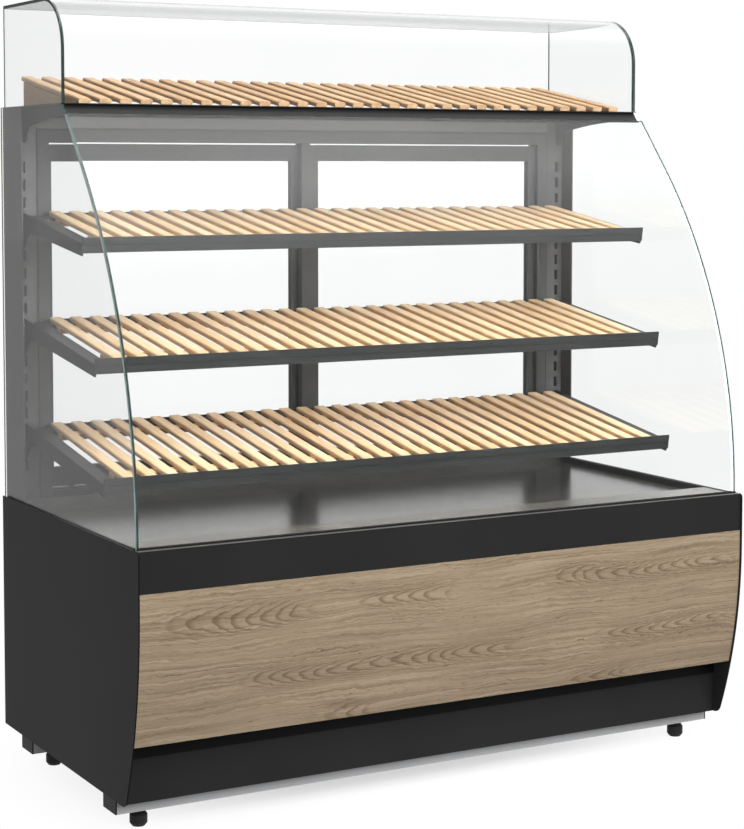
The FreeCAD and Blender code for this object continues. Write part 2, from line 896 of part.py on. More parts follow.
def top_shelf():
    """Folded sheet shelf: a lip over the glass, a front rail along it and a flange down to the beam."""
    sheet = size.shelf_sheet
    rail_low = shelf_top - size.shelf_rail_height
    gap = size.glass_thickness + size.bond_gap
    slope = tangent(size.glass_curve_angle)
    wall = sheet / cosine(size.glass_curve_angle)
    outer_top = glass_line(gap, shelf_under)
    outer_low = glass_line(gap, rail_low)
    inner_low = outer_low + wall + sheet * slope
    half = pane_inner - size.bond_gap
    rear_edge = rear_inner + sheet
    corners = [
        (shelf_lip_front(), shelf_top),
        (rear_edge, shelf_top),
        (rear_edge, shelf_under),
        (outer_top + wall, shelf_under),
        (inner_low, rail_low + sheet),
        (outer_low + size.shelf_rail_return, rail_low + sheet),
        (outer_low + size.shelf_rail_return, rail_low),
        (outer_low, rail_low),
        (outer_top, shelf_under),
        (shelf_lip_front(), shelf_under),
    ]
    folded = bar("shelf", [corners], both_ways(half))
    flange = box("shelf_flange", both_ways(post_inner - size.bond_gap), (frame_rear - sheet, frame_rear),
                 (beam_top, shelf_under))
    node(fused("flanged_shelf", [folded, flange]), "top_shelf_deck")
    tip = outer_low + size.shelf_rail_return + size.gusset_front_gap
    plate_low = shelf_under - size.gusset_plate_height
    bend_end = post_front - size.gusset_plate_reach - size.gusset_plate_slope
    tip_low = shelf_under - size.gusset_front_height
    bend_low = tip_low - size.gusset_drop
    run = bend_end - tip
    bend = (run * run + size.gusset_drop * size.gusset_drop) / (size.gusset_drop * 2)
    gusset = [
        (post_front, shelf_under),
        (tip, shelf_under),
        (tip, tip_low),
        (bend_end, bend_low, -bend),
        (post_front - size.gusset_plate_reach, plate_low),
        (post_front, plate_low),
    ]
    span = (bracket_inner, bracket_inner + size.gusset_sheet)
    pair = [bar("gusset", [gusset], on_side(side, *span)) for side in (-1, 1)]
    node(group("gussets", pair), "top_shelf_brackets")


def door_frame():
    """Beam between the uprights, and a mitred frame of tracks and jambs for the two doors."""
    along = (frame_front, frame_rear)
    up = (head_top, beam_top)
    loops = [rectangle(along, up)]
    loops.append(rectangle(inset_span(along, size.beam_wall), inset_span(up, size.beam_wall)))
    node(bar("beam", loops, both_ways(post_inner)), "top_beam")
    middle = (fin_middle - fin_half, fin_middle + fin_half)
    last = (frame_rear - size.track_fin, frame_rear)
    head = comb([(frame_front, front_lip_back, head_bottom), (*middle, head_bottom), (*last, head_bottom)],
                head_top, head_top - size.track_web)
    head_bar = bar("head_bar", [head], both_ways(post_inner))
    mitre = [
        (-post_inner, head_top),
        (-jamb_edge, head_bottom),
        (jamb_edge, head_bottom),
        (post_inner, head_top),
    ]
    mitre_block = padded("head_mitre", "XZ_Plane", [mitre], frame_rear - frame_front, reverse=True)
    place(mitre_block, zero, frame_front, zero)
    node(shared("mitred_head", [head_bar, mitre_block]), "door_head_track")
    fin_edge = post_inner - size.jamb_fin_reach
    section = comb([(frame_front, front_lip_back, jamb_edge), (*middle, fin_edge), (*last, fin_edge)],
                   post_inner, post_inner - size.jamb_web)
    cheek = [
        (post_inner, base_top),
        (post_inner, head_top),
        (jamb_edge, head_bottom),
        (jamb_edge, base_top),
    ]
    jambs = []
    for side in (-1, 1):
        jamb_bar = padded("jamb_bar", "XY_Plane", [[(side * x, y) for y, x in section]], head_top - base_top)
        place(jamb_bar, zero, zero, base_top)
        cheek_block = padded("jamb_mitre", "XZ_Plane", [[(side * x, z) for x, z in cheek]],
                             frame_rear - frame_front, reverse=True)
        place(cheek_block, zero, frame_front, zero)
        jambs.append(shared("mitred_jamb", [jamb_bar, cheek_block]))
    node(group("jambs", jambs), "door_jambs")
    rail_half = size.sill_rail / 2
    sill = comb([(frame_front, frame_front + size.track_fin, sill_top),
                 (front_track - rail_half, front_track + rail_half, sill_top),
                 (rear_track - rail_half, rear_track + rail_half, sill_top),
                 (*last, sill_top)], base_top, base_top + size.sill_web)
    node(bar("sill", [sill], both_ways(jamb_edge - size.bond_gap)), "door_sill_track")


def roller_places(left_edge):
    """X of a door's two rollers."""
    return (left_edge + size.roller_inset, left_edge + door_width - size.roller_inset)


def door(hand, left_edge, track, pull_side):
    """One sliding door: frame of two stiles and two rails, pane, finger pull, top guides and rollers."""
    thick = size.door_thickness
    face_y = track - thick / 2
    slot = size.pane_thickness + size.pane_clearance * 2
    slot_span = (thick / 2 - slot / 2, thick / 2 + slot / 2)
    slot_depth = size.pane_slot_depth
    stile = size.stile_width
    right_edge = left_edge + door_width
    stile_teeth = [(zero, slot_span[0], stile), (slot_span[1], thick, stile)]
    stile_section = comb(stile_teeth, zero, stile - slot_depth)
    pull_edge = left_edge if pull_side < 0 else right_edge
    pull_x = pull_edge - pull_side * (stile - slot_depth - size.pull_slot_gap - size.pull_width / 2)
    pull_z = door_bottom + size.pull_centre_height
    pull_half = size.pull_width / 2
    pull_rise = size.pull_height / 2
    back = face_y + thick
    gap = size.pull_clearance
    pocket = box("pull_pocket", (pull_x - pull_half - gap, pull_x + pull_half + gap),
                 (back - size.pull_depth - gap, back + size.overrun),
                 (pull_z - pull_rise - gap, pull_z + pull_rise + gap))
    frame = []
    for side, edge in ((1, left_edge), (-1, right_edge)):
        bar_up = padded("stile", "XY_Plane", [[(side * x, y) for y, x in stile_section]], door_height)
        place(bar_up, edge, face_y, door_bottom)
        if side == -pull_side:
            bar_up = cut("pull_stile", bar_up, pocket)
        frame.append(bar_up)
    inner = (left_edge + stile, right_edge - stile)
    top = size.top_rail_height
    bottom = size.bottom_rail_height
    rail_section = comb([(zero, slot_span[0], zero), (slot_span[1], thick, zero)], top, slot_depth)
    top_rail = padded("top_rail", "YZ_Plane", [rail_section], inner[1] - inner[0])
    place(top_rail, inner[0], face_y, door_top - top)
    wall = thick / 2 - size.roller_width / 2 - size.roller_side_gap
    cavity = roller_centre + size.roller_diameter / 2 + size.roller_top_gap - door_bottom
    section = [
        (zero, zero), (wall, zero), (wall, cavity), (thick - wall, cavity), (thick - wall, zero),
        (thick, zero), (thick, bottom), (slot_span[1], bottom), (slot_span[1], bottom - slot_depth),
        (slot_span[0], bottom - slot_depth), (slot_span[0], bottom), (zero, bottom),
    ]
    bottom_rail = padded("bottom_rail", "YZ_Plane", [section], inner[1] - inner[0])
    place(bottom_rail, inner[0], face_y, door_bottom)
    bore = size.axle_diameter / 2 + size.axle_clearance
    bores = [cross_rod("axle_bore", bore, thick + size.overrun * 2, x, face_y - size.overrun, roller_centre)
             for x in roller_places(left_edge)]
    frame.append(top_rail)
    frame.append(cut("bored_rail", bottom_rail, group("axle_bores", bores)))
    node(group("frame", frame), "door_%s_frame" % hand)
    reach = slot_depth - size.pane_edge_gap
    pane_half = size.pane_thickness / 2
    pane = box("pane", (inner[0] - reach, inner[1] + reach), (track - pane_half, track + pane_half),
               (door_bottom + bottom - reach, door_top - top + reach))
    node(pane, "door_%s_glass" % hand)
    flange = size.pull_flange
    plate = box("pull_plate", (pull_x - pull_half - flange, pull_x + pull_half + flange),
                (back, back + size.pull_flange_thickness),
                (pull_z - pull_rise - flange, pull_z + pull_rise + flange))
    across = (pull_x - pull_half, pull_x + pull_half)
    up = (pull_z - pull_rise, pull_z + pull_rise)
    cup = box("pull_cup", across, (back - size.pull_depth, back), up)
    hollow_along = (back - size.pull_depth + size.pull_wall, back + size.overrun)
    hollow = box("pull_hollow", inset_span(across, size.pull_wall), hollow_along,
                 inset_span(up, size.pull_wall))
    node(cut("pull", fused("pull_solid", [plate, cup]), hollow), "door_%s_finger_pull" % hand)
    guides = []
    guide_half = size.track_pitch / 2 - fin_half - size.guide_clearance
    for begin in (left_edge + size.guide_inset, right_edge - size.guide_inset - size.guide_length):
        guides.append(box("guide", (begin, begin + size.guide_length),
                          (track - guide_half, track + guide_half),
                          (door_top, door_top + size.guide_height)))
    node(group("guides", guides), "door_%s_top_guides" % hand)
    axle = size.axle_diameter / 2
    wheel = size.roller_diameter / 2
    roller_half = size.roller_width / 2
    axle_half = thick / 2 - size.axle_inset
    roller = [
        (zero, -axle_half), (axle, -axle_half), (axle, -roller_half), (wheel, -roller_half),
        (wheel, roller_half), (axle, roller_half), (axle, axle_half), (zero, axle_half),
    ]
    for end, x in zip(("a", "b"), roller_places(left_edge)):
        wheel_body = turned("roller", "XY_Plane", roller)
        place(wheel_body, x, track, roller_centre)
        node(wheel_body, "door_%s_roller_%s" % (hand, end))


def slat_row(name, count, half, length, low, reverse=False):
    """A row of equal slats over a width, each with four chamfered edges, from a level upwards."""
    width = size.slat_width
    pitch = (half * 2 - width) / (count - 1)
    chamfer = size.slat_chamfer
    high = low + size.slat_thickness
    begin = -half
    end = begin + width
    corners = [
        (begin + chamfer, low), (end - chamfer, low), (end, low + chamfer), (end, high - chamfer),
        (end - chamfer, high), (begin + chamfer, high), (begin, high - chamfer), (begin, low + chamfer),
    ]
    body = padded(name, "XZ_Plane", [corners], length, reverse)
    pad = body.Tip
    row = body.newObject("PartDesign::LinearPattern", "slats")
    row.Originals = [pad]
    row.Direction = (pad.Profile[0], ["H_Axis"])
    row.Mode = "Spacing"
    row.setExpression("Offset", pitch.text)
    row.setExpression("Occurrences", count.text)
    body.Tip = row
    return body


def tilted(y, z):
    """A point of a sloping shelf, seen upright from the shelf's rear edge."""
    slope = size.shelf_tilt
    return (y * cosine(slope) - z * sine(slope), y * sine(slope) + z * cosine(slope))


def shelf_rails(level, reach):
    """Front rail with a grooved face and a ledge, and rear rail with a low lip, that carry the grid."""
    sheet = size.rail_sheet
    bed = -size.slat_thickness
    outer = -reach - sheet
    low = size.rail_lip - size.rail_depth
    groove = size.rail_lip - size.rail_groove_drop
    wall = [
        (outer, low),
        (-reach, low),
        (-reach, size.rail_lip),
        (outer, size.rail_lip),
        (outer, groove),
        (outer + size.rail_groove_depth, groove),
        (outer + size.rail_groove_depth, groove - size.rail_groove_height),
        (outer, groove - size.rail_groove_height),
    ]
    ledge = rectangle((-reach, size.rail_ledge - reach), (bed - size.rail_ledge_sheet, bed))
    inner = size.rear_rail_gap
    flat = size.rail_ledge_sheet
    lipped = [
        (inner + flat, -size.rear_rail_drop),
        (inner, -size.rear_rail_drop),
        (inner, bed),
        (inner - size.rear_rail_width, bed),
        (inner - size.rear_rail_width, bed - flat),
        (inner, bed - flat),
        (inner, bed - size.rear_rail_height),
        (inner + flat, bed - size.rear_rail_height),
    ]
    pieces = []
    wall_half = bracket_outer + size.rail_overhang
    between = bracket_inner - size.bracket_ledge_width
    for loop, half in ((wall, wall_half), (ledge, between), (lipped, between)):
        piece = padded("rail_piece", "YZ_Plane", [loop], half * 2)
        place(piece, -half, shelf_rear, level, size.shelf_tilt)
        pieces.append(piece)
    return group("rails", [fused("front_rail", pieces[:2]), pieces[2]])


def shelf_brackets(level, reach):
    """Two sloping angles, each hooked into two slots of its upright, with a ledge level with the bed."""
    edge = post_front - size.bracket_post_gap - shelf_rear
    behind_wall = edge + size.bracket_post_gap + size.post_wall + size.hook_clearance
    tooth = behind_wall + size.hook_tooth
    corners = [
        tilted(-reach, -size.bracket_tip_height),
        (edge - size.bracket_heel_reach, -size.bracket_arm_height),
        (edge, -size.shelf_slot_drop - slot_pitch - size.bracket_heel_margin),
    ]
    for below in (1, 0):
        seat = -size.shelf_slot_drop - slot_pitch * below + size.hook_clearance
        corners += [
            (edge, seat),
            (behind_wall, seat),
            (behind_wall, seat - size.hook_drop),
            (tooth, seat - size.hook_drop),
            (tooth, seat + size.hook_height),
            (edge, seat + size.hook_height),
        ]
    bed = -size.slat_thickness
    corners.append((edge, edge * tangent(size.shelf_tilt) + bed / cosine(size.shelf_tilt)))
    corners.append(tilted(-reach, bed))
    strip = rectangle((-reach, zero), (bed - size.bracket_ledge_sheet, bed))
    arms = []
    for side in (-1, 1):
        arm = padded("arm", "YZ_Plane", [corners], size.bracket_sheet)
        place(arm, on_side(side, bracket_inner, bracket_outer)[0], shelf_rear, level)
        ledge = padded("arm_ledge", "YZ_Plane", [strip], size.bracket_ledge_width)
        ledge_span = on_side(side, bracket_inner - size.bracket_ledge_width, bracket_inner)
        place(ledge, ledge_span[0], shelf_rear, level, size.shelf_tilt)
        arms.append(fused("bracket", [arm, ledge]))
    return group("arms", arms)


def shelves():
    """Three sloping shelves on the slots: steel rails and brackets with a loose wooden grid on each."""
    reaches = (size.lower_shelf_reach, size.middle_shelf_reach, size.upper_shelf_reach)
    names = ("lower", "middle", "upper")
    half = shelf_grid_half
    bed = -size.slat_thickness
    for step, (name, reach) in enumerate(zip(names, reaches)):
        slot = LOWER_SLOT + SLOTS_PER_STEP * step
        level = base_top + size.slot_first_height + slot_pitch * slot + size.shelf_slot_drop
        node(shelf_rails(level, reach), name + "_shelf_rails")
        node(shelf_brackets(level, reach), name + "_shelf_brackets")
        slats = slat_row("slats", size.shelf_slat_count, half, reach - size.slat_end_gap, bed)
        place(slats, zero, shelf_rear, level, size.shelf_tilt)
        node(slats, name + "_shelf_slats")
        back = -size.batten_rear_distance
        forward = size.batten_front_distance - reach
        under = (bed - size.batten_thickness, bed)
        loops = [rectangle((back - size.batten_width, back), under)]
        loops.append(rectangle((forward, forward + size.batten_width), under))
        battens = padded("battens", "YZ_Plane", loops, half * 2)
        place(battens, -half, shelf_rear, level, size.shelf_tilt)
        node(battens, name + "_shelf_battens")


def top_grid():
    """Sloping grid on the top shelf: slats on two wedge boards, tied by two battens."""
    tilt = size.top_grid_tilt
    front_edge = hood_front() + size.glass_thickness + size.top_grid_front_gap
    depth = rear - size.top_grid_rear_inset - front_edge
    length = depth / cosine(tilt)
    half = hood_half - size.glass_thickness - size.top_slat_side_gap
    slats = slat_row("top_slats", size.top_slat_count, half, length, zero, reverse=True)
    place(slats, zero, front_edge, shelf_top, tilt)
    node(slats, "top_grid_slats")
    begin = size.board_front_gap
    end = depth - size.board_rear_gap
    rise = tangent(tilt)
    wedge = [(begin, zero), (end, zero), (end, end * rise), (begin, begin * rise)]
    pieces = []
    for side in (-1, 1):
        board = padded("board", "YZ_Plane", [wedge], size.board_thickness)
        place(board, on_side(side, half - size.board_thickness, half)[0], front_edge, shelf_top)
        pieces.append(board)
    between = half - size.board_thickness
    width = size.batten_width
    under = (-size.batten_thickness, zero)
    forward = length * TOP_BATTEN_SHARE
    back = length - size.batten_rear_distance
    battens = padded("top_battens", "YZ_Plane",
                     [rectangle((forward, forward + width), under), rectangle((back - width, back), under)],
                     between * 2)
    place(battens, -between, front_edge, shelf_top, tilt)
    pieces.append(battens)
    node(group("boards", pieces), "top_grid_boards")


def hood():
    """Bent pane for the hood's front and top, and a flat pane at each end, standing on the top shelf."""
    thickness = size.glass_thickness
    bend = size.hood_bend_radius
    begin = hood_front()
    end = hood_rear
    bend_start = hood_top - bend
    pane = [
        (begin, shelf_top),
        (begin + thickness, shelf_top),
        (begin + thickness, bend_start),
        (begin + bend, hood_top - thickness, thickness - bend),
        (end, hood_top - thickness),
        (end, hood_top),
        (begin + bend, hood_top),
        (begin, bend_start, bend),
    ]
    node(bar("hood_pane", [pane], both_ways(hood_half)), "hood_glass")
    gap = thickness + size.bond_gap
    side_pane = [
        (end, shelf_top),
        (end, hood_top - gap),
        (begin + bend, hood_top - gap),
        (begin + gap, bend_start, bend - gap),
        (begin + gap, shelf_top),
    ]
    inner = hood_half - thickness
    sides = [bar("hood_side", [side_pane], on_side(side, inner, hood_half)) for side in (-1, 1)]
    node(group("hood_sides", sides), "hood_side_glass")


def build():
    """Make every sub-part."""
    base_rails()
    feet()
    base_floor()
    side_panels()
    front_panels()
    rear_base()
    display_deck()
    glass_seats()
    main_glass()
    uprights()
    top_shelf()
    door_frame()
    door("left", -door_edge, rear_track, -1)
    door("right", door_edge - door_width, front_track, 1)
    shelves()
    top_grid()
    hood()
    document.recompute()


def check():
    """Stop if any object failed or any sub-part's shape is empty or broken."""
    for item in document.Objects:
        if "Invalid" in item.State or "Error" in item.State:
            raise RuntimeError("%s did not build: %s" % (item.Name, item.State))
    for piece in nodes:
        if piece.Shape.isNull() or not piece.Shape.isValid() or not piece.Shape.Solids:
            raise RuntimeError("%s has no sound shape" % piece.Label)


def write():
    """Write each sub-part to a file of its own name."""
    os.makedirs("parts", exist_ok=True)
    for piece in nodes:
        piece.Shape.exportStep("parts/%s.step" % piece.Label)
        print(piece.Label, len(piece.Shape.Solids), "solids", round(piece.Shape.Volume / 1000), "cm3")


build()
check()
write()
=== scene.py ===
import math

import bpy
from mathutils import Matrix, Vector
from mathutils.bvhtree import BVHTree

# Bread display case in a plain studio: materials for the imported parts, floor, light and camera.

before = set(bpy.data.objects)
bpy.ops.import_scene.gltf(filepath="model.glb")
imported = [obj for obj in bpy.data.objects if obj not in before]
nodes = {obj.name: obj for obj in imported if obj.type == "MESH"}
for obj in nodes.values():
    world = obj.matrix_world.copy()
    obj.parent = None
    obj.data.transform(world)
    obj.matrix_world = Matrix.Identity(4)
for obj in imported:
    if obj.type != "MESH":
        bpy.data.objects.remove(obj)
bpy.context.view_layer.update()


def grey(level):
    """A grey as a colour."""
    return (level, level, level)


def greys(stops):
    """Stops of position and level as stops of position and grey."""
    return [(position, grey(level)) for position, level in stops]


# camera, fitted to the case's edges in the photograph: metres, degrees, millimetres of lens and sensor
CAMERA_PLACE = (-2.0326, -3.6508, 1.2039)
CAMERA_YAW = 29.06
CAMERA_PITCH = 3.656
CAMERA_LENS = 89.04
CAMERA_SENSOR = 36.0
CAMERA_SHIFT = -0.14
LEVEL_VIEW = 90.0

# soft lamps: place, target and power in watts, and the width of both
KEY_LAMP = ((1.3, -3.3, 3.6), (0.0, 0.0, 0.9), 135.0)
FRONT_LAMP = ((0.5, -4.2, 2.3), (0.0, 0.0, 0.8), 180.0)
LAMP_WIDTH = 2.0

# the studio's brightness, and shares of it by height: as it lights the case, and as the glass mirrors it
STUDIO_LIGHT = 5.0
LIT_ROOM = greys(((0.0, 0.16), (0.3, 0.16), (0.6, 0.22), (0.9, 0.31)))
MIRRORED_ROOM = greys(((0.0, 0.1), (0.24, 0.1), (0.51, 0.14), (0.7, 0.24), (0.8, 0.46), (0.86, 0.76)))
PLAIN_WHITE = grey(0.2)

# share of its light left in the studio towards the left
LEFT_FADE = greys(((0.1, 1.0), (0.45, 0.5), (0.8, 0.3)))

# levels of a direction's Y and X between which the mirrored studio turns white at the back and right
WHITE_BACK = (0.0, 0.4)
WHITE_RIGHT = (-0.1, 0.3)

# floor: its size, the distances between which it turns plain white, and its least share of white
FLOOR_RADIUS = 30.0
FLOOR_CORNERS = 96
FLOOR_FADE = (0.2, 0.85)
FLOOR_WHITE = 0.6
FLOOR_TONES = (grey(0.86), grey(0.88))

# the white floor's glow as it lights the case, and as it is seen
FLOOR_GLOW = (0.45, 1.0)

# halfway between no bounce and one
HALF_BOUNCE = 0.5

# noise levels at which a clouded tone is at its darkest and lightest
CLOUD_LOW = 0.3
CLOUD_HIGH = 0.7

# place of a ramp's new stops until they are moved
RAMP_MIDDLE = 0.5

# dark joint between two pieces: its shade, and the distances at which it starts and is full, metres
JOINT_SHADE = grey(0.3)
JOINT_START = 0.0032
JOINT_FULL = 0.0016

# dark and light tones of coats, metals and plastics
BLACK_COAT = (grey(0.0105), grey(0.0135))
SIDE_COAT = (grey(0.028), grey(0.034))
EDGE_COAT = (grey(0.003), grey(0.004))
# painted sheen: the front band's top faces get a lighter grey for the light they catch from above
LEDGE_SHEEN = ((0.10, 0.097, 0.092), (0.13, 0.126, 0.12))
RAIL_COAT = ((0.3, 0.302, 0.308), (0.34, 0.342, 0.348))
DARK_COAT = (grey(0.062), grey(0.074))
SHELF_COAT = ((0.014, 0.0145, 0.0145), (0.018, 0.0185, 0.0185))
SHELF_FRONT_COAT = (grey(0.014), grey(0.019))
BEAM_COAT = ((0.115, 0.114, 0.112), (0.13, 0.129, 0.127))
DOOR_METAL = ((0.038, 0.038, 0.0385), (0.05, 0.05, 0.0505))
TRACK_METAL = ((0.05, 0.05, 0.0505), (0.062, 0.062, 0.0625))
DECK_SHEET = ((0.17, 0.167, 0.162), (0.21, 0.206, 0.2))
RIM_SHEET = ((0.2, 0.19, 0.177), (0.245, 0.234, 0.22))
ZINC_PLATE = (grey(0.5), (0.65, 0.65, 0.64))
BLACK_PLASTIC = (grey(0.008), grey(0.012))
BLACK_RUBBER = (grey(0.006), grey(0.01))

# how much the relief varies the roughness of powder coat, down and up, and of moulded pieces
PEEL_SMOOTHER = 0.05
PEEL_ROUGHER = 0.07
MOULD_SPREAD = 0.05

# marks per metre along X, Y and Z: drawn grain of the tracks and doors, rolled streaks of the sheets
DRAWN_GRAIN = (6.0, 900.0, 6.0)
ROLLED_STREAKS = (3.0, 260.0, 260.0)

# glass: a low index keeps its reflections as faint as in the photograph
GLASS_INDEX = 1.3
GLASS_TINTS = ((0.975, 0.985, 0.98), (0.99, 0.995, 0.993))
GLASS_SHADOW = (0.95, 0.97, 0.96, 1.0)
DARK_GLASS_EDGE = ((0.003, 0.01, 0.009), (0.012, 0.03, 0.028))
# painted highlight: a pale tint on some pane edges stands in for light caught in the glass
GLASS_EDGE_HIGHLIGHT = ((0.42, 0.55, 0.55), (0.6, 0.72, 0.72))

# thickness of the panes and of the base's side sheets, metres
CASE_PANE = 0.006
DOOR_PANE = 0.004
PANEL_SHEET = 0.0025

# a face is deep if a ray from just under its skin runs further than this share of the thickness
DEEP_SHARE = 1.5
SKIN_SHARE = 0.01

# parts of a face's normal from which it counts as the pane's left end, a front edge, a top or a front
LEFT_END = -0.7
FRONT_EDGE = -0.3
TOP_FACE = 0.9
FRONT_FACE = -0.5

# oak: tones from its light wood to its small knots
OAK_LIGHT = (0.285, 0.224, 0.158)
OAK_MIDDLE = (0.205, 0.158, 0.107)
OAK_DARK = (0.12, 0.088, 0.057)
OAK_DEEP = (0.075, 0.047, 0.025)
OAK_KNOT = (0.035, 0.022, 0.014)
OAK_LINES = ((0.3, OAK_DARK), (0.5, OAK_MIDDLE), (0.72, OAK_LIGHT))
OAK_CLOUDS = ((0.88, 0.87, 0.86), (1.07, 1.06, 1.05))

# darkness across one growth ring of the oak, and the share of it that shows
OAK_RING = greys(((0.0, 0.05), (0.5, 0.1), (0.78, 0.8), (0.9, 1.0), (1.0, 0.05)))
OAK_RING_SHARE = 0.72

# rows of arches in the oak: height of the row, its depth in the log, and the spans along X that show arches
OAK_ROWS = (
    (0.19, 0.022, ((-0.33, -0.16), (0.23, 0.46))),
    (0.276, 0.016, ((-0.5, 0.14), (0.28, 0.68))),
    (0.398, 0.02, ((-0.65, -0.29), (-0.26, 0.0), (0.16, 0.68))),
)
SPAN_FADE = 0.08

# the log: its taper along X, the depth added to each row's, and its rings per metre
LOG_TAPER = -0.05
LOG_DEPTH = 0.033
LOG_RINGS = 560.0

# distances from a row's height at which its arches start and are full, metres
ROW_START = 0.042
ROW_FULL = 0.01

# waves in the oak's grain: waves per metre along X, Y and Z, and half their height in metres
OAK_SWAY = ((5.0, 0.0, 15.0), 0.06)
OAK_DRIFT = ((3.0, 0.0, 11.0), 0.022)
OAK_QUIVER = ((46.0, 0.0, 120.0), 0.005)

# marks in the oak per metre along and across the grain, and the patches of its knots and clouds
OAK_STRANDS = (2.6, 330.0)
OAK_PORES = (24.0, 760.0)
OAK_KNOT_PATCH = (4.0, 0.0, 7.0)
OAK_CLOUD_PATCH = (2.2, 0.0, 9.0)

# pitch and half width of the slat rows, metres, and tone steps per metre of depth on the boards and battens
SHELF_SLAT_ROW = (0.042214, 0.603)
TOP_SLAT_ROW = (0.042276, 0.625)
BOARD_STEPS = 10.0

# seed of each shelf's slat tones, and of the top grid's
SHELF_SEEDS = {"upper": 1.0, "middle": 2.0, "lower": 3.0}
TOP_SEED = 7.0

# beech: tones that its slats draw from, and what is left of them in grain lines and in the painted shade on
# the slats' sides
BEECH_TONES = ((0.0, (0.63, 0.438, 0.258)), (0.35, (0.7, 0.508, 0.312)),
               (0.7, (0.735, 0.55, 0.355)), (1.0, (0.765, 0.592, 0.402)))
BEECH_GRAIN = (0.83, 0.76, 0.69)
BEECH_SIDE_SHADE = (0.9, 0.85, 0.8)
BEECH_ENDS = ((0.20, 0.12, 0.065), (0.42, 0.27, 0.15))

# grain lines of the beech per metre along X, Y and Z, and its longest shift from slat to slat, metres
BEECH_LINES = (260.0, 9.0, 60.0)
BEECH_SHIFT = 7.0

# share of the beech tones on the shelves' grids, on the top grid's slats and on its boards
FULL_SHADE = grey(1.0)
TOP_SLAT_SHADE = (0.61, 0.535, 0.46)
TOP_BOARD_SHADE = (0.5, 0.47, 0.44)

# axes by number
ALONG_X = 0
ALONG_Z = 2

# material slots after a node's first
SECOND_SLOT = 1
THIRD_SLOT = 2


class Web:
    """A node tree, with a short call for each kind of node."""

    def __init__(self, tree):
        self.tree = tree

    def feed(self, socket, value):
        """Link a socket to another node's output, or set its own value."""
        if isinstance(value, bpy.types.NodeSocket):
            self.tree.links.new(value, socket)
        else:
            socket.default_value = value

    def noise(self, place, scale=1.0, detail=3.0, roughness=0.5, distortion=0.0):
        """Soft noise from 0 to 1."""
        texture = self.tree.nodes.new("ShaderNodeTexNoise")
        self.feed(texture.inputs["Vector"], place)
        texture.inputs["Scale"].default_value = scale
        texture.inputs["Detail"].default_value = detail
        texture.inputs["Roughness"].default_value = roughness
        texture.inputs["Distortion"].default_value = distortion
        return texture.outputs["Fac"]

    def maths(self, operation, first, second=0.0):
        """One sum on one or two numbers."""
        step = self.tree.nodes.new("ShaderNodeMath")
        step.operation = operation
        self.feed(step.inputs[0], first)
        self.feed(step.inputs[1], second)
        return step.outputs[0]

    def plus(self, first, second):
        """Two numbers added."""
        return self.maths("ADD", first, second)

    def times(self, first, second):
        """Two numbers multiplied."""
        return self.maths("MULTIPLY", first, second)

    def parts(self, vector):
        """X, Y and Z of a vector."""
        split = self.tree.nodes.new("ShaderNodeSeparateXYZ")
        self.feed(split.inputs[0], vector)
        return split.outputs[:]

    def joined(self, x, y, z):
        """A vector from three numbers."""
        joint = self.tree.nodes.new("ShaderNodeCombineXYZ")
        for socket, value in zip(joint.inputs, (x, y, z)):
            self.feed(socket, value)
        return joint.outputs[0]

    def ramp(self, factor, stops):
        """A colour for each level of a number: stops of position and colour."""
        node = self.tree.nodes.new("ShaderNodeValToRGB")
        self.feed(node.inputs[0], factor)
        elements = node.color_ramp.elements
        while len(elements) < len(stops):
            elements.new(RAMP_MIDDLE)
        for element, (position, colour) in zip(elements, stops):
            element.position = position
            element.color = (*colour, 1.0)
        return node.outputs["Color"]

    def clouded(self, factor, dark, light):
        """A tone that goes from dark to light with a noise."""
        return self.ramp(factor, ((CLOUD_LOW, dark), (CLOUD_HIGH, light)))

    def range(self, factor, low, high):
        """A number from 0 to 1 brought between two limits."""
        node = self.tree.nodes.new("ShaderNodeMapRange")
        self.feed(node.inputs["Value"], factor)
        node.inputs["To Min"].default_value = low
        node.inputs["To Max"].default_value = high
        return node.outputs["Result"]

    def step(self, factor, start, end):
        """A smooth step from 0 to 1 between two levels."""
        node = self.tree.nodes.new("ShaderNodeMapRange")
        node.interpolation_type = "SMOOTHSTEP"
        self.feed(node.inputs["Value"], factor)
        node.inputs["From Min"].default_value = start
        node.inputs["From Max"].default_value = end
        return node.outputs["Result"]

    def blend(self, factor, first, second, mode="MIX"):
        """Two colours mixed, in the mix node's sockets for colours."""
        node = self.tree.nodes.new("ShaderNodeMix")
        node.data_type = "RGBA"
        node.blend_type = mode
        self.feed(node.inputs["Factor"], factor)
        for socket, value in zip(node.inputs[6:8], (first, second)):
            if isinstance(value, tuple):
                value = (*value, 1.0)
            self.feed(socket, value)
        return node.outputs[2]

    def shaded(self, colour, shade):
        """A colour times a shade."""
        return self.blend(1.0, colour, shade, mode="MULTIPLY")

    def straight_sight(self):
        """1 for what is seen straight or only through panes, 0 for light and reflections."""
        path = self.tree.nodes.new("ShaderNodeLightPath").outputs
        bounces = self.plus(path["Glossy Depth"], path["Diffuse Depth"])
        unbounced = self.maths("LESS_THAN", bounces, HALF_BOUNCE)
        through = self.times(unbounced, path["Is Transmission Ray"])
        return self.maths("MAXIMUM", through, path["Is Camera Ray"])

    def mirrored(self):
        """1 for what is seen by reflection in panes or sheet."""
        path = self.tree.nodes.new("ShaderNodeLightPath").outputs
        sharp = self.maths("MAXIMUM", path["Is Glossy Ray"], path["Is Transmission Ray"])
        mirror = self.times(sharp, self.maths("GREATER_THAN", path["Glossy Depth"], HALF_BOUNCE))
        return self.times(mirror, self.maths("LESS_THAN", path["Diffuse Depth"], HALF_BOUNCE))


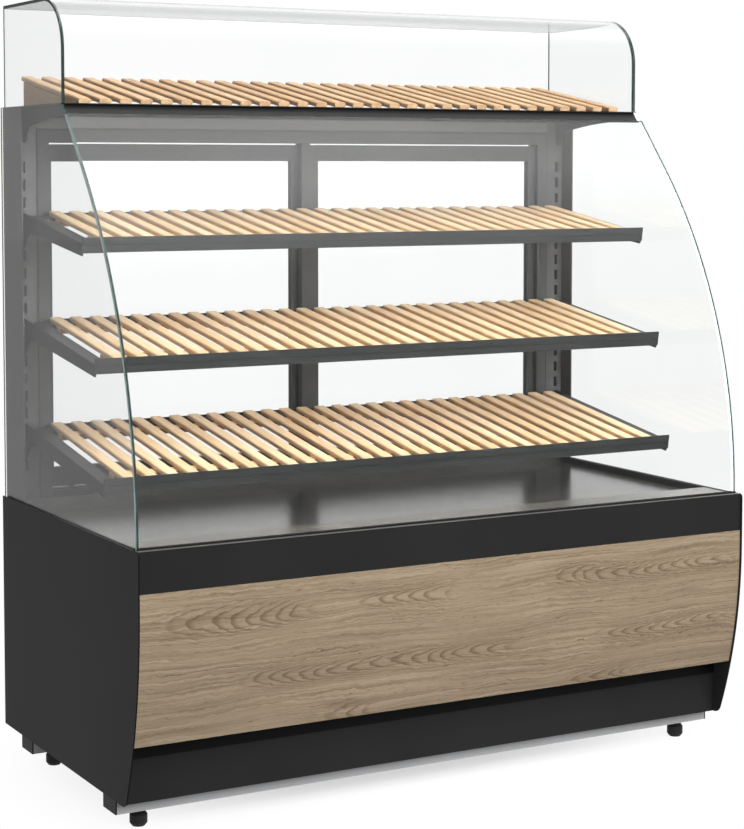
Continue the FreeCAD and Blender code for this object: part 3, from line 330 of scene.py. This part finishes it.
class Paint(Web):
    """The node tree of one material."""

    def __init__(self, name):
        self.material = bpy.data.materials.new(name)
        self.material.use_nodes = True
        super().__init__(self.material.node_tree)
        self.shader = self.tree.nodes["Principled BSDF"]
        self.coordinates = self.tree.nodes.new("ShaderNodeTexCoord")
        self.place = self.coordinates.outputs["Object"]

    def stretched(self, scale):
        """The object's coordinates, scaled by a different amount each way."""
        mapping = self.tree.nodes.new("ShaderNodeMapping")
        self.feed(mapping.inputs["Vector"], self.place)
        mapping.inputs["Scale"].default_value = scale
        return mapping.outputs["Vector"]

    def joint(self, colour, axis, level):
        """A colour with a thin dark joint where the distance along an axis has a level."""
        along = self.maths("ABSOLUTE", self.parts(self.place)[axis])
        apart = self.maths("ABSOLUTE", self.maths("SUBTRACT", along, level))
        dark = self.shaded(colour, JOINT_SHADE)
        return self.blend(self.step(apart, JOINT_START, JOINT_FULL), colour, dark)

    def bump(self, height, distance, strength):
        """Surface relief from a height."""
        node = self.tree.nodes.new("ShaderNodeBump")
        self.feed(node.inputs["Height"], height)
        node.inputs["Distance"].default_value = distance
        node.inputs["Strength"].default_value = strength
        return node.outputs["Normal"]

    def finish(self, **values):
        """Set the shader's inputs, named in lower case with underscores, and give the material."""
        words = {"ior": "IOR", "specular_ior_level": "Specular IOR Level"}
        for name, value in values.items():
            socket = self.shader.inputs[words.get(name, name.replace("_", " ").title())]
            self.feed(socket, value)
        return self.material

    def end_with(self, factor, second):
        """Mix the material's shader with a second one, and put the mix on the surface."""
        mix = self.tree.nodes.new("ShaderNodeMixShader")
        self.feed(mix.inputs["Fac"], factor)
        self.feed(mix.inputs[1], self.shader.outputs["BSDF"])
        self.feed(mix.inputs[2], second)
        self.feed(self.tree.nodes["Material Output"].inputs["Surface"], mix.outputs["Shader"])


def coated_steel(name, dark, light, roughness=0.42, specular=0.35, seam=None):
    """Powder coat: a faintly cloudy tone, a fine orange-peel relief and, at a seam, a dark joint."""
    paint = Paint(name)
    cloud = paint.noise(paint.place, scale=4.0, detail=4.0)
    peel = paint.noise(paint.place, scale=900.0, detail=2.0)
    tone = paint.clouded(cloud, dark, light)
    return paint.finish(
        base_color=paint.joint(tone, *seam) if seam else tone,
        roughness=paint.range(peel, low=roughness - PEEL_SMOOTHER, high=roughness + PEEL_ROUGHER),
        specular_ior_level=specular,
        normal=paint.bump(peel, distance=0.0002, strength=0.25),
    )


def anodised(name, dark, light, seam=None):
    """Dark anodised aluminium with a faint drawn grain and, at its seam's axis and level, a dark joint."""
    paint = Paint(name)
    grain = paint.noise(paint.stretched(DRAWN_GRAIN))
    tone = paint.clouded(paint.noise(paint.place, scale=3.0), dark, light)
    drawn = paint.blend(paint.range(grain, low=0.0, high=0.35), tone, light)
    return paint.finish(
        base_color=paint.joint(drawn, *seam) if seam else drawn,
        roughness=paint.range(grain, low=0.34, high=0.46),
        metallic=0.25,
        specular_ior_level=0.4,
    )


def bright_sheet(name, dark, light, smooth, rough, metallic=1.0):
    """Rolled stainless or plated sheet: long streaks along X in tone and gloss."""
    paint = Paint(name)
    streak = paint.noise(paint.stretched(ROLLED_STREAKS), detail=4.0)
    cloud = paint.noise(paint.place, scale=5.0)
    mean = paint.times(paint.plus(streak, cloud), 0.5)
    return paint.finish(
        base_color=paint.clouded(mean, dark, light),
        metallic=metallic,
        roughness=paint.range(streak, low=smooth, high=rough),
    )


def moulded(name, dark, light, roughness):
    """Moulded plastic or rubber with a fine even grain."""
    paint = Paint(name)
    grain = paint.noise(paint.place, scale=1400.0, detail=2.0)
    cloud = paint.noise(paint.place, scale=12.0, detail=2.0)
    return paint.finish(
        base_color=paint.clouded(cloud, dark, light),
        roughness=paint.range(grain, low=roughness - MOULD_SPREAD, high=roughness + MOULD_SPREAD),
        specular_ior_level=0.35,
        normal=paint.bump(grain, distance=0.0002, strength=0.2),
    )


def oak_wave(paint, waves, reach):
    """A soft shift of the oak's grain to either side, up to a reach."""
    return paint.range(paint.noise(paint.stretched(waves), detail=2.0), low=-reach, high=reach)


def oak_marks(paint, x, z, along, across, detail, roughness):
    """Noise drawn out along the oak's grain."""
    place = paint.joined(paint.times(x, along), 0.0, paint.times(z, across))
    return paint.noise(place, detail=detail, roughness=roughness)


def oak_spans(paint, x, spans):
    """1 inside a row's spans along X, with soft ends."""
    shown = 0.0
    for start, end in spans:
        entered = paint.step(x, start, start + SPAN_FADE)
        inside = paint.times(entered, paint.step(x, end, end - SPAN_FADE))
        shown = paint.maths("MAXIMUM", shown, inside)
    return shown


def oak_arches(paint, x, z):
    """Darkness of the nested arches that flat-cut growth rings draw, their tips to the left."""
    darkness = 0.0
    for height, depth, spans in OAK_ROWS:
        off = paint.maths("SUBTRACT", z, height)
        away = paint.plus(paint.times(x, LOG_TAPER), depth + LOG_DEPTH)
        radius = paint.maths("SQRT", paint.plus(paint.times(off, off), paint.times(away, away)))
        ring = paint.maths("FRACT", paint.times(radius, LOG_RINGS))
        line = paint.parts(paint.ramp(ring, OAK_RING))[ALONG_X]
        near = paint.step(paint.maths("ABSOLUTE", off), ROW_START, ROW_FULL)
        shown = paint.times(paint.times(line, near), oak_spans(paint, x, spans))
        darkness = paint.maths("MAXIMUM", darkness, shown)
    return darkness


def oak():
    """Light oak veneer with its grain along X: fine lines, nested arches, pores and a few small knots."""
    paint = Paint("light_oak")
    x, _, z = paint.parts(paint.place)
    bent_x = paint.plus(x, oak_wave(paint, *OAK_SWAY))
    bent_z = paint.plus(z, oak_wave(paint, *OAK_DRIFT))
    bent_z = paint.plus(bent_z, oak_wave(paint, *OAK_QUIVER))
    arches = paint.times(oak_arches(paint, bent_x, bent_z), OAK_RING_SHARE)
    lines = oak_marks(paint, x, bent_z, *OAK_STRANDS, detail=4.0, roughness=0.62)
    arched = paint.blend(arches, paint.ramp(lines, OAK_LINES), OAK_DEEP)
    pores = oak_marks(paint, x, bent_z, *OAK_PORES, detail=2.0, roughness=0.6)
    pored = paint.blend(paint.step(pores, start=0.6, end=0.74), arched, OAK_DEEP)
    cells = paint.tree.nodes.new("ShaderNodeTexVoronoi")
    paint.feed(cells.inputs["Vector"], paint.stretched(OAK_KNOT_PATCH))
    cells.inputs["Scale"].default_value = 1.0
    knot = paint.step(cells.outputs["Distance"], start=0.036, end=0.018)
    cloud = paint.noise(paint.stretched(OAK_CLOUD_PATCH))
    return paint.finish(
        base_color=paint.shaded(paint.blend(knot, pored, OAK_KNOT), paint.clouded(cloud, *OAK_CLOUDS)),
        roughness=paint.range(pores, low=0.5, high=0.64),
        specular_ior_level=0.25,
        normal=paint.bump(lines, distance=0.0003, strength=0.3),
    )


def beech_lot(paint, x, y, row, seed):
    """A number by lot for each slat of a row or, with no row, for each step of depth."""
    if row:
        pitch, half = row
        index = paint.maths("FLOOR", paint.maths("DIVIDE", paint.plus(x, half), pitch))
    else:
        index = paint.maths("FLOOR", paint.times(y, BOARD_STEPS))
    lottery = paint.tree.nodes.new("ShaderNodeTexWhiteNoise")
    lottery.noise_dimensions = "3D"
    paint.feed(lottery.inputs["Vector"], paint.joined(index, seed, 0.0))
    return lottery.outputs["Value"]


def beech(name, row=None, seed=0.0, shade=FULL_SHADE):
    """Beech: grain along Y, a tone of its own for each slat, painted shade on the slats' sides, and darker
    ends.
    """
    paint = Paint(name)
    x, y, z = paint.parts(paint.place)
    lot = beech_lot(paint, x, y, row, seed)
    shifted = paint.plus(y, paint.times(lot, BEECH_SHIFT))
    lines = [paint.times(place, count) for place, count in zip((x, shifted, z), BEECH_LINES)]
    grain = paint.noise(paint.joined(*lines), detail=4.0, roughness=0.6, distortion=0.4)
    tone = paint.shaded(paint.ramp(lot, BEECH_TONES), shade)
    lined = paint.step(grain, start=0.35, end=0.75)
    grained = paint.blend(lined, tone, paint.shaded(tone, BEECH_GRAIN))
    across, facing, _ = paint.parts(paint.coordinates.outputs["Normal"])
    # painted shade: faces turned to either side along X are darkened
    side = paint.step(paint.maths("ABSOLUTE", across), start=0.8, end=0.95)
    shaded_sides = paint.blend(side, grained, paint.shaded(grained, BEECH_SIDE_SHADE))
    speckle = paint.noise(paint.place, scale=1200.0, detail=2.0)
    end = paint.step(paint.maths("ABSOLUTE", facing), start=0.85, end=0.95)
    return paint.finish(
        base_color=paint.blend(end, shaded_sides, paint.clouded(speckle, *BEECH_ENDS)),
        roughness=paint.range(grain, low=0.45, high=0.6),
        specular_ior_level=0.3,
        normal=paint.bump(grain, distance=0.0003, strength=0.3),
    )


def clear_glass():
    """Clear float glass that lets lamp light through, with the faintest unevenness in its tint."""
    paint = Paint("clear_glass")
    cloud = paint.noise(paint.place, scale=3.0, detail=2.0)
    paint.finish(
        base_color=paint.clouded(cloud, *GLASS_TINTS),
        roughness=0.0,
        ior=GLASS_INDEX,
        transmission_weight=1.0,
    )
    path = paint.tree.nodes.new("ShaderNodeLightPath")
    through = paint.tree.nodes.new("ShaderNodeBsdfTransparent")
    through.inputs["Color"].default_value = GLASS_SHADOW
    paint.end_with(path.outputs["Is Shadow Ray"], through.outputs["BSDF"])
    return paint.material


def glass_edge(name, dark, light):
    """Polished pane edge, a little lighter in places."""
    paint = Paint(name)
    return paint.finish(
        base_color=paint.clouded(paint.noise(paint.place, scale=30.0), dark, light),
        roughness=0.18,
        specular_ior_level=0.2,
    )


def dress(names, *materials):
    """Give CAD nodes their materials."""
    for name in names:
        mesh = nodes[name].data
        mesh.materials.clear()
        for material in materials:
            mesh.materials.append(material)


def deep_faces(name, thickness):
    """The narrow faces of a sheet: those with more of it behind them than it is thick."""
    mesh = nodes[name].data
    corners = [vertex.co for vertex in mesh.vertices]
    tree = BVHTree.FromPolygons(corners, [tuple(face.vertices) for face in mesh.polygons])
    skin = thickness * SKIN_SHARE
    deep = []
    for face in mesh.polygons:
        inward = -face.normal
        _, _, _, distance = tree.ray_cast(face.center + inward * skin, inward)
        if distance is not None and distance > thickness * DEEP_SHARE:
            deep.append(face)
    return deep


def mark_pane_edges(name, thickness):
    """Dark edges on a pane; a pale painted highlight at the front pane's left end and on the right side
    pane's front.
    """
    for face in deep_faces(name, thickness):
        left_end = name == "front_glass" and face.normal.x < LEFT_END
        right_joint = name == "side_glass_right" and face.normal.y < FRONT_EDGE
        face.material_index = THIRD_SLOT if left_end or right_joint else SECOND_SLOT


def mark_top_faces(name, level):
    """Second material on a node's faces that look up and lie above a level."""
    for face in nodes[name].data.polygons:
        if face.normal.z > TOP_FACE and face.center.z > level:
            face.material_index = SECOND_SLOT


def mark_front_faces(name):
    """Second material on a node's faces that look to the front."""
    for face in nodes[name].data.polygons:
        if face.normal.y < FRONT_FACE:
            face.material_index = SECOND_SLOT


def top_of(name):
    """Height of a node's highest point."""
    return max(vertex.co.z for vertex in nodes[name].data.vertices)


def bottom_of(name):
    """Height of a node's lowest point."""
    return min(vertex.co.z for vertex in nodes[name].data.vertices)


def inner_side_of(name):
    """Least distance of a node from the case's middle plane."""
    return min(abs(vertex.co.x) for vertex in nodes[name].data.vertices)


def paint_base():
    """Materials of the base's sheets, rails, feet and wood."""
    black = coated_steel("black_powder_coat", *BLACK_COAT, specular=0.15)
    side = coated_steel("side_powder_coat", *SIDE_COAT, specular=0.08)
    edge = coated_steel("black_sheet_edge", *EDGE_COAT, specular=0.1)
    ledge = coated_steel("ledge_painted_sheen", *LEDGE_SHEEN, roughness=0.3)
    grey_coat = coated_steel("grey_powder_coat", *RAIL_COAT)
    dress(["base_floor", "plinth_panel", "rear_base_panel"], black)
    dress(["side_glass_channels"], side)
    for hand in ("left", "right"):
        dress(["side_panel_" + hand], side, edge)
        for face in deep_faces("side_panel_" + hand, PANEL_SHEET):
            face.material_index = SECOND_SLOT
    # painted sheen: a lighter grey on the band's faces that look up
    dress(["front_band"], black, ledge)
    mark_top_faces("front_band", top_of("side_panel_left") - PANEL_SHEET)
    dress(["panel_support_strip"], edge)
    dress(["base_rails"], grey_coat)
    dress(["wood_front_panel"], oak())


def paint_deck_and_fittings():
    """Materials of the deck, and of what is zinc, plastic or rubber."""
    deck = bright_sheet("bright_steel_sheet", *DECK_SHEET, smooth=0.18, rough=0.25, metallic=0.85)
    rim = bright_sheet("brushed_rim", *RIM_SHEET, smooth=0.22, rough=0.3, metallic=0.7)
    zinc = bright_sheet("zinc_plate", *ZINC_PLATE, smooth=0.3, rough=0.45)
    plastic = moulded("black_plastic", *BLACK_PLASTIC, roughness=0.45)
    rubber = moulded("black_rubber", *BLACK_RUBBER, roughness=0.7)
    dress(["display_deck"], deck, rim)
    mark_top_faces("display_deck", top_of("side_panel_left") - PANEL_SHEET)
    dress(["foot_inserts", "rear_panel_screws"], zinc)
    dress(["rail_end_caps"], plastic)
    dress([name for name in nodes if name.startswith("foot_") and name != "foot_inserts"], plastic)
    dress(["front_glass_gasket"], rubber)
    for hand in ("left", "right"):
        for fitting in ("finger_pull", "top_guides", "roller_a", "roller_b"):
            dress(["door_%s_%s" % (hand, fitting)], plastic)


def paint_case():
    """Materials of the frame, the shelves' steel and the doors."""
    dark = coated_steel("dark_powder_coat", *DARK_COAT, specular=0.25)
    shelf_coat = coated_steel("shelf_powder_coat", *SHELF_COAT, specular=0.18)
    front_coat = coated_steel("shelf_front_coat", *SHELF_FRONT_COAT, specular=0.15)
    beam_seam = (ALONG_Z, bottom_of("top_beam"))
    beam_coat = coated_steel("beam_powder_coat", *BEAM_COAT, specular=0.25, seam=beam_seam)
    door_metal = anodised("dark_anodised", *DOOR_METAL)
    jamb_metal = anodised("drawn_jamb", *TRACK_METAL, seam=(ALONG_X, inner_side_of("upright_right")))
    head_metal = anodised("drawn_track", *TRACK_METAL, seam=(ALONG_Z, top_of("door_head_track")))
    dress(["upright_left", "upright_right"], dark)
    dress(["top_shelf_brackets"], shelf_coat)
    dress(["top_beam"], beam_coat)
    dress(["top_shelf_deck"], dark, front_coat)
    mark_front_faces("top_shelf_deck")
    for shelf in ("upper", "middle", "lower"):
        dress([shelf + "_shelf_rails", shelf + "_shelf_brackets"], shelf_coat)
    dress(["door_left_frame", "door_right_frame"], door_metal)
    dress(["door_jambs"], jamb_metal)
    dress(["door_head_track", "door_sill_track"], head_metal)


def paint_glass():
    """Materials of the panes and their edges."""
    glass = clear_glass()
    edge = glass_edge("glass_edge", *DARK_GLASS_EDGE)
    # painted highlight on the front pane's left end and on the right side pane's front edge
    pale = glass_edge("painted_glass_edge_highlight", *GLASS_EDGE_HIGHLIGHT)
    case_panes = ("front_glass", "side_glass_left", "side_glass_right", "hood_glass", "hood_side_glass")
    door_panes = ("door_left_glass", "door_right_glass")
    for names, thickness in ((case_panes, CASE_PANE), (door_panes, DOOR_PANE)):
        dress(names, glass, edge, pale)
        for name in names:
            mark_pane_edges(name, thickness)


def paint_wood():
    """Materials of the four wooden grids."""
    for shelf, seed in SHELF_SEEDS.items():
        dress([shelf + "_shelf_slats"], beech("beech_%s_slats" % shelf, SHELF_SLAT_ROW, seed))
    dress(["top_grid_slats"], beech("beech_top_slats", TOP_SLAT_ROW, TOP_SEED, TOP_SLAT_SHADE))
    dress(["top_grid_boards"], beech("beech_top_boards", shade=TOP_BOARD_SHADE))
    dress([shelf + "_shelf_battens" for shelf in SHELF_SEEDS], beech("beech_battens"))


def floor():
    """A pale floor that fades into the white surroundings."""
    bpy.ops.mesh.primitive_circle_add(vertices=FLOOR_CORNERS, radius=FLOOR_RADIUS, fill_type="NGON")
    ground = bpy.context.object
    ground.name = "floor"
    paint = Paint("pale_floor")
    cloud = paint.noise(paint.place, scale=1.5, detail=2.0)
    paint.finish(
        base_color=paint.clouded(cloud, *FLOOR_TONES),
        roughness=0.75,
        specular_ior_level=0.1,
    )
    away = paint.tree.nodes.new("ShaderNodeVectorMath")
    away.operation = "LENGTH"
    paint.feed(away.inputs[0], paint.place)
    glow = paint.tree.nodes.new("ShaderNodeEmission")
    paint.feed(glow.inputs["Strength"], paint.range(paint.straight_sight(), *FLOOR_GLOW))
    faded = paint.step(away.outputs["Value"], *FLOOR_FADE)
    paint.end_with(paint.range(faded, low=FLOOR_WHITE, high=1.0), glow.outputs["Emission"])
    ground.data.materials.append(paint.material)


def lamp(name, place, target, power):
    """A square softbox aimed at a point, kept out of reflections."""
    light = bpy.data.lights.new(name, "AREA")
    light.shape = "SQUARE"
    light.size = LAMP_WIDTH
    light.energy = power
    light.cycles.use_multiple_importance_sampling = False
    holder = bpy.data.objects.new(name, light)
    bpy.context.scene.collection.objects.link(holder)
    holder.location = place
    holder.rotation_euler = (Vector(target) - Vector(place)).to_track_quat("-Z", "Y").to_euler()
    holder.visible_glossy = False


def surroundings():
    """White where seen; where it lights the case or is mirrored, lighter from above and from the right."""
    world = bpy.data.worlds.new("studio")
    world.use_nodes = True
    sky = Web(world.node_tree)
    direction = sky.tree.nodes.new("ShaderNodeTexCoord").outputs["Generated"]
    x, y, z = sky.parts(direction)
    fade = sky.ramp(sky.times(x, -1.0), LEFT_FADE)
    lit = sky.shaded(sky.ramp(z, LIT_ROOM), fade)
    behind = sky.times(sky.step(y, *WHITE_BACK), sky.step(x, *WHITE_RIGHT))
    mirror = sky.blend(behind, sky.ramp(z, MIRRORED_ROOM), PLAIN_WHITE)
    room = sky.blend(sky.mirrored(), lit, mirror)
    backdrop = sky.tree.nodes["Background"]
    sky.feed(backdrop.inputs["Color"], sky.blend(sky.straight_sight(), room, PLAIN_WHITE))
    backdrop.inputs["Strength"].default_value = STUDIO_LIGHT
    bpy.context.scene.world = world


def light():
    """The surroundings and two soft lamps."""
    surroundings()
    lamp("key_softbox", *KEY_LAMP)
    lamp("front_softbox", *FRONT_LAMP)
    bpy.context.scene.view_settings.view_transform = "Standard"


def camera():
    """The photograph's viewpoint."""
    lens = bpy.data.cameras.new("camera")
    lens.sensor_width = CAMERA_SENSOR
    lens.lens = CAMERA_LENS
    lens.shift_y = CAMERA_SHIFT
    holder = bpy.data.objects.new("camera", lens)
    bpy.context.scene.collection.objects.link(holder)
    holder.location = CAMERA_PLACE
    holder.rotation_euler = (math.radians(LEVEL_VIEW - CAMERA_PITCH), 0.0, math.radians(-CAMERA_YAW))
    bpy.context.scene.camera = holder


paint_base()
paint_deck_and_fittings()
paint_case()
paint_glass()
paint_wood()
floor()
light()
camera()
